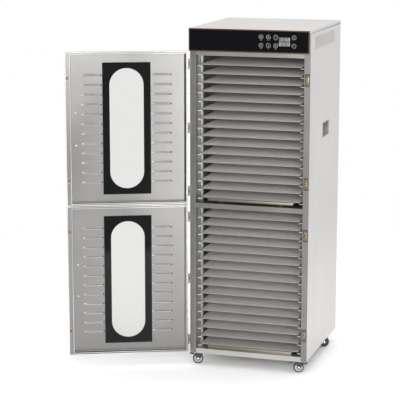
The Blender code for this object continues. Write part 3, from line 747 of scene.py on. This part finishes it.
def control_header():
    """Glossy overlay with a copper border, eight printed ring keys and a two-row display."""
    low, high = inward("control_fascia")
    front = low.y
    work = bmesh.new()
    add_box(work, ORIGIN + low, ORIGIN + high, 0.0012, 3)
    piece("header_overlay", work, [FASCIA], "fascia", angle=10, replaces=["control_fascia"])
    work = bmesh.new()
    inset, wide = 0.0014, 0.0030
    x0, x1, z0, z1 = low.x + inset, high.x - inset, low.z + inset, high.z - inset
    between = (z0 + wide, z1 - wide)
    for across, up in (((x0, x1), (z0, z0 + wide)), ((x0, x1), (z1 - wide, z1)),
                       ((x0, x0 + wide), between), ((x1 - wide, x1), between)):
        add_slab(work, across, (front - 0.0003, front + 0.0002), up, 0.0002, 1)
    piece("header_border", work, [COPPER], "fascia", angle=10)
    work = bmesh.new()
    for kind, x, z in KEYS:
        key_symbol(work, x, z, front - 0.0002, kind)
        if kind in ("plus", "minus"):
            continue
        for dot in range(3):
            left = x - 0.0042 + dot * 0.0034
            add_slab(work, (left, left + 0.0016), (front - 0.0002, front + 0.0001),
                     (z - 0.0138, z - 0.0128))
    piece("key_prints", work, [PRINT], "fascia")
    work = bmesh.new()
    glass = (front - 0.0004, front + 0.0002)
    for up in ((1.3500, 1.3662), (1.3688, 1.3850)):
        add_slab(work, (0.3905, 0.4364), glass, up, 0.0002, 1)
    right, spacing, size = 0.4342, 0.0104, 0.0118
    for text, z in (("8065", 1.3710), ("1230", 1.3522)):
        for index, figure in enumerate(text):
            digit(work, 1, right - spacing * (len(text) - index), z, glass[0], size, figure)
    piece("display_window", work, [DISPLAY, DIGIT], "fascia", angle=10)


# ---------------------------------------------------------------- trays and racks


def tray_mesh():
    """A round-wire rim with a crossed wire mesh, centred on x, from the front edge back."""
    low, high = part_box("upper_tray_01")
    width, depth, height = high - low
    rim, pitch, wire, edge = 0.0021, 0.0060, 0.00062, 0.004
    level = height - rim
    work = bmesh.new()
    outline = [(u, v + depth / 2, height - rim - 0.0001)
               for u, v in rounded_outline(width - 2 * rim, depth - 2 * rim, 0.009)]
    add_tube(work, outline, rim, 8, closed=True, look=1)
    second = [(u, v + depth / 2, 0.0016)
              for u, v in rounded_outline(width - 0.018, depth - 0.018, 0.006)]
    add_tube(work, second, 0.0014, 6, closed=True, look=1)
    across = int((width - 0.012) / pitch)
    for index in range(across + 1):
        x = (index - across / 2) * pitch
        add_tube(work, [(x, edge, level), (x, depth - edge, level)], wire, 4)
    along = int((depth - 0.012) / pitch)
    reach, level = width / 2 - edge, level + wire
    for index in range(along + 1):
        y = depth / 2 + (index - along / 2) * pitch
        add_tube(work, [(-reach, y, level), (reach, y, level)], wire, 4)
    mesh = finished_mesh("mesh_tray", work, 60)
    mesh.materials.append(TRAY_WIRE)
    # The rims take the darker wire: painted shade
    mesh.materials.append(SHADED_RIM_WIRE)
    return mesh


def trays():
    mesh = tray_mesh()
    for bay in BAYS:
        for index in range(1, TRAY_COUNT + 1):
            node = f"{bay}_tray_{index:02d}"
            low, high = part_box(node)
            place = Matrix.Translation(((low.x + high.x) / 2, low.y, low.z))
            place_mesh(node + "_mesh", mesh, node, place, [node])


def drip_pans():
    """Shallow pans with round corners, a turned rim and a short skirt along the front."""
    for bay in BAYS:
        node = f"{bay}_drip_tray"
        low, high = inward(node)
        wide, deep, _ = high - low
        cx, cy = (low.x + high.x) / 2, (low.y + high.y) / 2
        # (inset, z) down the outside, then up the inside and back to the rim
        outside = ((0.0, high.z), (0.0, high.z - 0.0012), (0.0050, high.z - 0.0014),
                   (0.0075, low.z + 0.0016), (0.0095, low.z + 0.0001))
        inside = ((0.0105, low.z + 0.0009), (0.0085, low.z + 0.0024), (0.0062, high.z - 0.0006),
                  (0.0058, high.z))
        work = bmesh.new()
        rings = []
        for inset, z in outside + inside:
            outline = rounded_outline(wide - 2 * inset, deep - 2 * inset, 0.016 - inset * 0.8, 6)
            rings.append([work.verts.new(at(cx + u, cy + v, z)) for u, v in outline])
        rings.append(rings[0])
        floor = len(outside)
        for index in range(len(rings) - 1):
            if index != floor - 1:
                band(work, rings[index], rings[index + 1])
        work.faces.new(rings[floor - 1])
        work.faces.new(rings[floor])
        add_slab(work, (low.x + 0.012, high.x - 0.012), (low.y + 0.0004, low.y + 0.0016),
                 (low.z - 0.0030, high.z - 0.0010), 0.0005)
        piece(f"{bay}_drip_pan", work, [PAN_STEEL], "drip_tray", node, replaces=[node])


def racks():
    """Wire ladders: two uprights at each end of a side, a hairpin under each tray, and rear tie bars."""
    outer, inner, reach = 0.0297, 0.0352, 0.0445  # X of the wires, from the casing's side
    radius, runner, bend = 0.0020, 0.00172, 0.004
    angles = [math.radians(30 * turn) for turn in range(4)]
    corner = [(bend * math.sin(angle), bend * (1 - math.cos(angle))) for angle in angles]
    for bay in BAYS:
        low, high = inward(f"{bay}_wire_rack")
        front, upright, back = low.y + 0.0022, low.y + 0.052, high.y - 0.006
        work = bmesh.new()
        for flip in (False, True):
            def side(x, y, z):
                return at(WIDTH - x if flip else x, y, z)

            for y, step in ((upright, 0.0042), (back, -0.0042)):
                for x, place in ((outer, y), (inner, y + step)):
                    add_tube(work, [side(x, place, low.z), side(x, place, high.z)], radius, 8)
            for index in range(1, TRAY_COUNT + 1):
                z = inward(f"{bay}_tray_{index:02d}")[0].z - 0.0003 - 0.00175
                path = [side(outer, front, z)]
                path += [side(reach - bend + u, front + v, z) for u, v in corner]
                path += [side(reach - bend + u, back - v, z) for u, v in reversed(corner)]
                path.append(side(outer, back, z))
                add_tube(work, path, runner, 7)
        for level in (low.z + 0.0322, high.z - 0.0578):
            y = back + 0.004
            add_tube(work, [at(WIDTH - outer, y, level), at(outer, y, level)], radius, 8)
        piece(f"{bay}_rack_wires", work, [WIRE], "wire", angle=50, replaces=[f"{bay}_wire_rack"])


# ---------------------------------------------------------------- doors


def door_frame(bay):
    """The door's own frame at rest: its x axis runs from the hinge axis along the door."""
    joint = JOINTS[f"{bay}_door_swing"]
    x, y, _ = joint["pos_m"]
    turned = Matrix.Rotation(math.radians(joint["range_deg"][0]), 4, "Z")
    return Matrix.Translation((x, y, ORIGIN.z)) @ turned


def louvre_places(middle):
    """The louvres' centres: a column on each side of the window."""
    for side in (-1, 1):
        for step in range(LOUVRE_COUNT):
            yield (DOOR_EDGE + DOOR_WIDTH / 2 + side * LOUVRE_OFFSET,
                   middle + (step - (LOUVRE_COUNT - 1) / 2) * LOUVRE_PITCH)


def louvres(bay, middle, rides):
    """Pressed hoods over the door's slots, open along their lower edge, and the slots' rims inside. The
    hoods are painted lighter than the door's sheet, painted light; each slot has a bright dimple at one
    end and a dark one at the other, a painted highlight and a painted shadow.
    """
    wide, tall = LOUVRE_SIZE
    columns, rows, depth = 16, 6, 0.0052
    work = bmesh.new()
    for cx, cz in louvre_places(middle):
        grid = []
        for column in range(columns + 1):
            u = -1 + 2 * column / columns
            bulge = (1 - abs(u) ** 7) ** 0.5
            line = []
            for row in range(rows + 1):
                v = row / rows
                reach = depth * bulge * math.sin(v * math.pi / 2) ** 0.9
                x = cx + u * (wide / 2 + 0.003)
                z = cz + tall / 2 + 0.002 - v * (tall + 0.002)
                line.append(work.verts.new((x, -FACE - 0.0002 - reach, z)))
            grid.append(line)
        add_grid(work, grid)
    hoods = piece(f"{bay}_door_louvres", work, [LIGHTER_HOOD_STEEL], "steel", angle=60, **rides)
    thick = hoods.modifiers.new("sheet", "SOLIDIFY")
    thick.thickness = 0.0009
    thick.offset = 0.0
    dimple = [(0.0032, -0.0001), (0.0028, 0.0010), (0.0014, 0.0016), (0.0, 0.0017)]
    outline = rounded_outline(wide + 0.0012, tall + 0.0012, 0.0050, 4)
    work = bmesh.new()
    for cx, cz in louvre_places(middle):
        add_tube(work, hoop(outline, cx, INNER_FACE + 0.0002, cz, plain), 0.0006, 6, closed=True)
        # A painted highlight at one end in the lighter steel, a painted shadow at the other in the dark
        # steel
        for end, look in ((1, 1), (-1, 2)):
            place = (cx + end * (wide / 2 + 0.0016), INNER_FACE, cz)
            add_turned(work, dimple, facing(place, 1), 14, look)
    looks = [DOOR_STEEL, HIGHLIGHT_STEEL, DARK_STEEL_AND_SHADE]
    piece(f"{bay}_louvre_rims", work, looks, "steel", angle=60, **rides)


def window(bay, middle, rides):
    """The pane: black printed border with a clear stadium, and a raised trim ring outside."""
    wide, tall = WINDOW_SIZE
    clear_wide, clear_tall = CLEAR_SIZE
    x, radius = DOOR_EDGE + DOOR_WIDTH / 2, clear_wide / 2
    near = INNER_FACE + 0.0003
    far = near + 0.004
    clear = rounded_outline(clear_wide, clear_tall, radius - 0.0001, 16)
    outer = []
    for u, v in clear:
        scale = min((wide / 2) / max(abs(u), 1e-6), (tall / 2) / max(abs(v), 1e-6))
        outer.append((u * scale, v * scale))
    count = len(clear)
    for su, sv in ((1, 1), (-1, 1), (-1, -1), (1, -1)):
        cu, cv = su * wide / 2, sv * tall / 2
        nearest = min(range(count), key=lambda i: (outer[i][0] - cu) ** 2 + (outer[i][1] - cv) ** 2)
        outer[nearest] = (cu, cv)
    work = bmesh.new()
    clear_front, clear_back, rim_front, rim_back = [
        [work.verts.new(point) for point in hoop(outline, x, y, middle, plain)]
        for outline, y in ((clear, near), (clear, far), (outer, near), (outer, far))]
    strips = ((clear_front, rim_front), (clear_back, rim_back), (rim_front, rim_back))
    for index in range(count):
        after = (index + 1) % count
        for first, second in strips:
            quad = (first[index], first[after], second[after], second[index])
            work.faces.new(quad).material_index = 1
    work.faces.new(clear_front)
    work.faces.new(clear_back)
    piece(f"{bay}_window_pane", work, [GLASS, BORDER], "glass", angle=30,
          replaces=[f"{bay}_door_glass"], **rides)
    work = bmesh.new()
    trim = rounded_outline(clear_wide + 0.004, clear_tall + 0.004, radius, 12)
    add_tube(work, hoop(trim, x, -FACE - 0.0006, middle, plain), 0.0014, 8, closed=True)
    piece(f"{bay}_window_trim", work, [DOOR_STEEL], "steel", **rides)


def door_handle(bay, middle, rides):
    """A smooth bent bar on two round rosettes, with its screws showing inside the door."""
    reach, radius, bend = 0.035, 0.0055, 0.014
    rosette = [(0.0095, 0.0001), (0.0095, 0.0016), (0.0080, 0.0026), (0.0056, 0.0028)]
    x = DOOR_EDGE + DOOR_WIDTH - HANDLE_INSET
    foot = HANDLE_SPACING / 2
    path = [(x, -FACE - 0.0004, middle - foot)]
    for end in (-1, 1):
        for step in range(9)[::-end]:
            turn = math.pi / 2 * step / 8
            y = -FACE - reach + bend * (1 - math.sin(turn))
            path.append((x, y, middle + end * (foot - bend * (1 - math.cos(turn)))))
    path.append((x, -FACE - 0.0004, middle + foot))
    work = bmesh.new()
    add_tube(work, path, radius, 20)
    for end in (-1, 1):
        z = middle + end * foot
        add_turned(work, rosette, facing((x, -FACE, z), -1), 28)
        add_screw(work, (x, INNER_FACE, z), (0, 1, 0), 0.0042)
    piece(f"{bay}_handle_bar", work, [SCREW], "handle", angle=40,
          replaces=[f"{bay}_door_handle"], **rides)


def strikes(bay, middle, rides):
    """Brass strikes on the free edge's lip, each with the prong that its catch holds."""
    hinge = Vector(JOINTS[f"{bay}_door_swing"]["pos_m"]) - ORIGIN
    x = WIDTH - CATCH_INSET - hinge.x
    rivet = [(0.0020, -0.0003), (0.0020, 0.0001), (0.0, 0.0003)]
    work = bmesh.new()
    for level in (middle - CATCH_OFFSET, middle + CATCH_OFFSET):
        add_box(work, (x - 0.0052, FACE - 0.0002, level - 0.0135),
                (x + 0.0052, FACE + 0.0003, level + 0.0135), 0.0002, 1)
        add_box(work, (x - 0.0022, FACE, level - 0.0030),
                (x + 0.0022, FACE + 0.0052, level + 0.0030), 0.0009, 2, 2)
        for way in (-1, 1):
            place = (x, FACE + 0.0002, level + way * 0.0105)
            add_turned(work, rivet, facing(place, 1), 12, 1)
    piece(f"{bay}_strikes", work, [AGED_BRASS, SCREW, DARK_STEEL_AND_SHADE], "brass", **rides)


def door_shade_strips(bay, middle, rides):
    """Painted shade in the door's pan: a strip beside the hinge-side lip, black on the upper door and
    grey on the lower, and a grey one along the bottom lip.
    """
    left, right = DOOR_EDGE + 0.0066, DOOR_EDGE + DOOR_WIDTH - 0.0205
    low, high = middle - DOOR_HEIGHT / 2 + 0.0095, middle + DOOR_HEIGHT / 2 - 0.0095
    work = bmesh.new()
    add_box(work, (left, INNER_FACE, low), (left + 0.0062, INNER_FACE + 0.0085, high), 0.0022, 3)
    add_box(work, (left + 0.0064, INNER_FACE, low), (right, INNER_FACE + 0.0060, low + 0.0062),
            0.0018, 3, 1)
    # Lit and shaded copies: the hinge-side strip is painted black on the upper door and grey on the lower
    looks = [SHADE_BLACK if bay == "upper" else PAINTED_GREY, PAINTED_GREY]
    piece(f"{bay}_door_seal", work, looks, "black_trim", **rides)


def lip_beads(bay, middle, rides):
    """Rolled edges round the door's outline and along the inner margin of its lips, in a lighter copy of
    the door steel: painted highlight lines.
    """
    work = bmesh.new()
    # Inset at the hinge side, at the free edge, at both ends; rise above the lip; radius
    for hinge_side, free_side, ends, rise, radius in ((0.0011, 0.0011, 0.0011, 0.0, 0.0011),
                                                      (0.0065, 0.020, 0.009, 0.0003, 0.0008)):
        x0, x1 = DOOR_EDGE + hinge_side, DOOR_EDGE + DOOR_WIDTH - free_side
        z0, z1 = middle - DOOR_HEIGHT / 2 + ends, middle + DOOR_HEIGHT / 2 - ends
        y = FACE - 0.0006 + rise
        add_tube(work, [(x0, y, z0), (x1, y, z0), (x1, y, z1), (x0, y, z1)], radius, 8, closed=True)
    piece(f"{bay}_lip_beads", work, [HIGHLIGHT_STEEL], "steel", angle=60, **rides)


def doors():
    for bay in BAYS:
        rides = {"body": f"{bay}_door", "matrix": door_frame(bay)}
        for build in (louvres, window, door_handle, strikes, door_shade_strips, lip_beads):
            build(bay, door_middle(bay), rides)


# ---------------------------------------------------------------- fans


def fan_blade(work, turned):
    """A twisted, cambered blade, from the hub out along the frame's X."""
    rings, steps, root, tip = 8, 6, 0.024, 0.0985
    grid = []
    for ring in range(rings + 1):
        radius = root + (tip - root) * ring / rings
        twist = math.radians(38 - 16 * ring / rings)
        chord = 0.034 + 0.020 * math.sin(math.pi * ring / 9)
        line = []
        for step in range(steps + 1):
            s = (step / steps - 0.5) * chord
            camber = 0.004 * (1 - (2 * step / steps - 1) ** 2)
            angle = (s * math.cos(twist) - camber * math.sin(twist)) / radius
            lift = s * math.sin(twist) + camber * math.cos(twist)
            place = Vector((radius * math.cos(angle), radius * math.sin(angle), lift * 0.45))
            line.append(work.verts.new(turned @ place))
        grid.append(line)
    add_grid(work, grid)


def fans():
    """A fan wheel of five blades on its hub and shaft, and a wire guard in front of it."""
    for bay in BAYS:
        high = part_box(f"{bay}_fan")[1]
        x, y, z = JOINTS[f"{bay}_fan_spin"]["pos_m"]
        axis = facing((x, y, z), -1)
        shaft_end = y - high.y + 0.0005
        hub = [(0.0, 0.0125), (0.012, 0.0120), (0.022, 0.0095), (0.026, 0.0050), (0.026, -0.0110),
               (0.004, -0.0112), (0.004, shaft_end), (0.0, shaft_end)]
        work = bmesh.new()
        add_turned(work, hub, axis, 32)
        for index in range(5):
            fan_blade(work, axis @ Matrix.Rotation(math.tau * index / 5, 4, "Z"))
        piece(f"{bay}_fan_wheel", work, [ALUMINIUM], "fan", f"{bay}_fan", angle=40,
              replaces=[f"{bay}_fan"])
        work = bmesh.new()
        guard_y = y - 0.034
        for ring in range(1, 8):
            add_tube(work, hoop(circle(0.016 * ring, 36), x, guard_y, z, plain), 0.0011, 6, closed=True)
        for spoke in range(4):
            angle = math.tau * spoke / 4 + math.pi / 4
            out = Vector((math.cos(angle), 0, math.sin(angle)))
            centre = Vector((x, guard_y + 0.0018, z))
            foot = centre + out * 0.128
            path = [centre + out * 0.014, centre + out * 0.114, foot, foot + Vector((0, 0.100, 0))]
            add_tube(work, path, 0.0014, 6)
        piece(f"{bay}_fan_guard", work, [WIRE], "wire")


# ---------------------------------------------------------------- casters


def caster_fork(place, base, top, reach, drop):
    """Raceway, two cheeks, crown, axle and nuts, and the pedal of the braked one."""
    race = [(0.0, top), (0.0175, top), (0.0185, top - 0.0012), (0.0175, top - 0.0030),
            (0.0140, top - 0.0042), (0.0, top - 0.0042)]
    nut = [(0.0050, -0.0002), (0.0050, 0.0010), (0.0042, 0.0014), (0.0, 0.0014)]
    cheek = [(-0.0125, top - 0.0040)]
    for step in range(9):
        angle = math.radians(200 + 160 * step / 8)
        cheek.append((reach + 0.0085 * math.cos(angle), drop + 0.0085 * math.sin(angle)))
    cheek += [(0.0225, top - 0.0110), (0.0215, top - 0.0040)]
    work = bmesh.new()
    add_turned(work, race, base, 32, 1)
    for side in (-1, 1):
        near, far = [[work.verts.new(base @ Vector((u, y, v))) for u, v in cheek]
                     for y in sorted((side * 0.0105, side * 0.0129))]
        band(work, near, far)
        work.faces.new(near)
        work.faces.new(far[::-1])
        add_turned(work, nut, facing((reach, side * 0.0128, drop), side, base), 20, 1)
    # Crown, then the pedal's arm and foot: X, half width, Z below the top, rounding, segments
    blocks = [((-0.0130, 0.0220), 0.0120, (0.0068, 0.0036), 0.0012, 2)]
    pedal = [((0.0160, 0.0500), 0.0085, (0.0105, 0.0060), 0.0015, 2),
             ((0.0360, 0.0530), 0.0085, (0.0140, 0.0060), 0.0030, 3)]
    for (x0, x1), half, (down, up), rounding, segments in blocks + (pedal if place == BRAKED else []):
        add_box(work, (x0, -half, top - down), (x1, half, top - up), rounding, segments, 0, base)
    axle = [(0.0034, -0.0125), (0.0034, 0.0125)]
    add_turned(work, axle, facing((reach, 0, drop), -1, base), 16, 1)
    piece(f"caster_{place}_fork", work, [BLACK_PLASTIC_AND_SHADE, SCREW], "caster_black", f"caster_swivel_{place}",
          replaces=[f"caster_fork_{place}"])


def mirrored(profile):
    """A closed profile from its half above z = 0."""
    return profile + [(radius, -z) for radius, z in reversed(profile)] + [profile[0]]


def caster_wheel(place, axis):
    """Rubber tyre, grey ring and steel cap."""
    wide = 0.0090
    tread = mirrored([(0.0168, wide - 0.0004), (0.0190, wide), (0.0208, wide - 0.0006),
                      (0.0220, wide - 0.0022), (0.0225, wide - 0.0042)])
    ring = [(0.0170, wide - 0.0010), (0.0160, wide - 0.0004), (0.0120, wide - 0.0012),
            (0.0118, 0.0012 - wide), (0.0160, 0.0004 - wide), (0.0170, 0.0010 - wide)]
    cap = mirrored([(0.0119, wide - 0.0030), (0.0112, wide - 0.0006), (0.0080, wide + 0.0002),
                    (0.0040, wide + 0.0004)])
    work = bmesh.new()
    add_turned(work, tread, axis, 48, 0)
    add_turned(work, ring + [ring[0]], axis, 48, 1)
    add_turned(work, cap, axis, 40, 2)
    piece(f"caster_{place}_wheel", work, [RUBBER, GREY, SCREW], "tyre", f"caster_wheel_{place}",
          angle=50, replaces=[f"caster_wheel_{place}"])


def casters():
    """Swivel casters: the fork rides on the swivel body, the wheel on the wheel body."""
    for place in PLACES:
        pivot = Vector(JOINTS[f"caster_swivel_{place}"]["pos_m"])
        axle = Vector(JOINTS[f"caster_roll_{place}"]["pos_m"])
        trail = Vector((axle.x - pivot.x, axle.y - pivot.y, 0))
        heading = math.atan2(trail.y, trail.x)
        base = Matrix.Translation((pivot.x, pivot.y, ORIGIN.z)) @ Matrix.Rotation(heading, 4, "Z")
        reach, drop = trail.length, axle.z - ORIGIN.z
        caster_fork(place, base, -0.0026, reach, drop)
        caster_wheel(place, facing((reach, 0, drop), -1, base))


# ---------------------------------------------------------------- stage


CAMERA_YAW = 0.2998
CAMERA_PITCH = 0.1951
CAMERA_LENS = 137.9
CAMERA_PLACE = (1.942, -6.140, 1.951)

# Each light's place, size and power in watts; all are aimed at one point
LAMPS = {
    "key": ((2.4, -2.2, 3.0), (2.2, 2.2), 16.0),
    "left_fill": ((-2.6, -2.4, 2.2), (2.0, 2.0), 10.0),
    "top": ((0.3, 0.4, 3.4), (2.6, 2.6), 14.0),
    "front_low": ((0.32, -4.2, 1.15), (0.5, 1.1), 17.0),
    "eye_fill": ((1.3, -5.6, 2.3), (1.4, 1.4), 120.0),
    "right_strip": ((1.95, -2.7, 0.75), (0.8, 1.8), 27.0),
}
LAMP_TARGET = Vector((0.1, 0.0, 0.75))

# The studio's brightness by direction: 1 is straight at the dim middle front
STUDIO_FRONT = (-0.20, -0.97, -0.10)
STUDIO_STOPS = ((0.0, 1.0), (0.66, 1.0), (0.74, 0.80), (0.82, 0.38), (0.92, 0.20), (1.0, 0.22))


def stage():
    """The camera, a pale floor and the lights."""
    scene = bpy.context.scene
    data = bpy.data.cameras.new("camera")
    data.lens = CAMERA_LENS
    data.sensor_width = 36.0
    data.clip_end = 100.0
    camera = bpy.data.objects.new("camera", data)
    camera.location = at(*CAMERA_PLACE)
    camera.rotation_euler = (math.pi / 2 - CAMERA_PITCH, 0.0, CAMERA_YAW)
    scene.collection.objects.link(camera)
    scene.camera = camera
    scene.view_settings.view_transform = "Standard"

    work = bmesh.new()
    bmesh.ops.create_circle(work, cap_ends=True, segments=96, radius=2.6,
                            matrix=Matrix.Translation((0, 0.2, FLOOR_Z - 0.0003)))
    mesh = bpy.data.meshes.new("floor")
    work.to_mesh(mesh)
    work.free()
    floor_look, principled = shader("floor_paper", (0.97, 0.97, 0.97), 0.0, 0.9)
    tree = floor_look.node_tree
    bump(tree, principled, noise(tree, 120.0), 0.05)
    mesh.materials.append(floor_look)
    floor = bpy.data.objects.new("floor", mesh)
    scene.collection.objects.link(floor)

    for name, (place, size, power) in LAMPS.items():
        light = bpy.data.lights.new(name, "AREA")
        light.shape = "RECTANGLE"
        light.size, light.size_y = size
        light.energy = power
        lamp = bpy.data.objects.new(name, light)
        lamp.location = place
        lamp.rotation_euler = (LAMP_TARGET - Vector(place)).to_track_quat("-Z", "Y").to_euler()
        scene.collection.objects.link(lamp)


def surroundings():
    """A white studio whose middle front, where the camera stands, is dim."""
    world = bpy.data.worlds.new("studio")
    bpy.context.scene.world = world
    world.use_nodes = True
    nodes, links = world.node_tree.nodes, world.node_tree.links
    background = nodes["Background"]
    where = nodes.new("ShaderNodeTexCoord")
    toward = nodes.new("ShaderNodeVectorMath")
    toward.operation = "DOT_PRODUCT"
    toward.inputs[1].default_value = STUDIO_FRONT
    links.new(where.outputs["Generated"], toward.inputs[0])
    shade = nodes.new("ShaderNodeValToRGB")
    ramp_stops = shade.color_ramp.elements
    while len(ramp_stops) < len(STUDIO_STOPS):
        ramp_stops.new(0.5)
    for stop, (position, value) in zip(ramp_stops, STUDIO_STOPS):
        stop.position = position
        stop.color = (value, value, value, 1.0)
    links.new(toward.outputs["Value"], shade.inputs["Fac"])
    # Seen directly or through the glass, the studio is plain white
    path = nodes.new("ShaderNodeLightPath")
    seen = nodes.new("ShaderNodeMix")
    seen.data_type = "RGBA"
    seen.inputs["B"].default_value = (1.0, 1.0, 1.0, 1.0)
    direct = nodes.new("ShaderNodeMath")
    direct.operation = "MAXIMUM"
    links.new(path.outputs["Is Camera Ray"], direct.inputs[0])
    links.new(path.outputs["Is Transmission Ray"], direct.inputs[1])
    links.new(direct.outputs[0], seen.inputs["Factor"])
    links.new(shade.outputs["Color"], seen.inputs["A"])
    links.new(seen.outputs["Result"], background.inputs["Color"])


dress_cad_nodes()
side_vents()
lid_shadow_line()
pull_cups()
catches()
hinge_pins()
back_details()
base_trim()
control_header()
trays()
drip_pans()
racks()
doors()
fans()
casters()
stage()
surroundings()
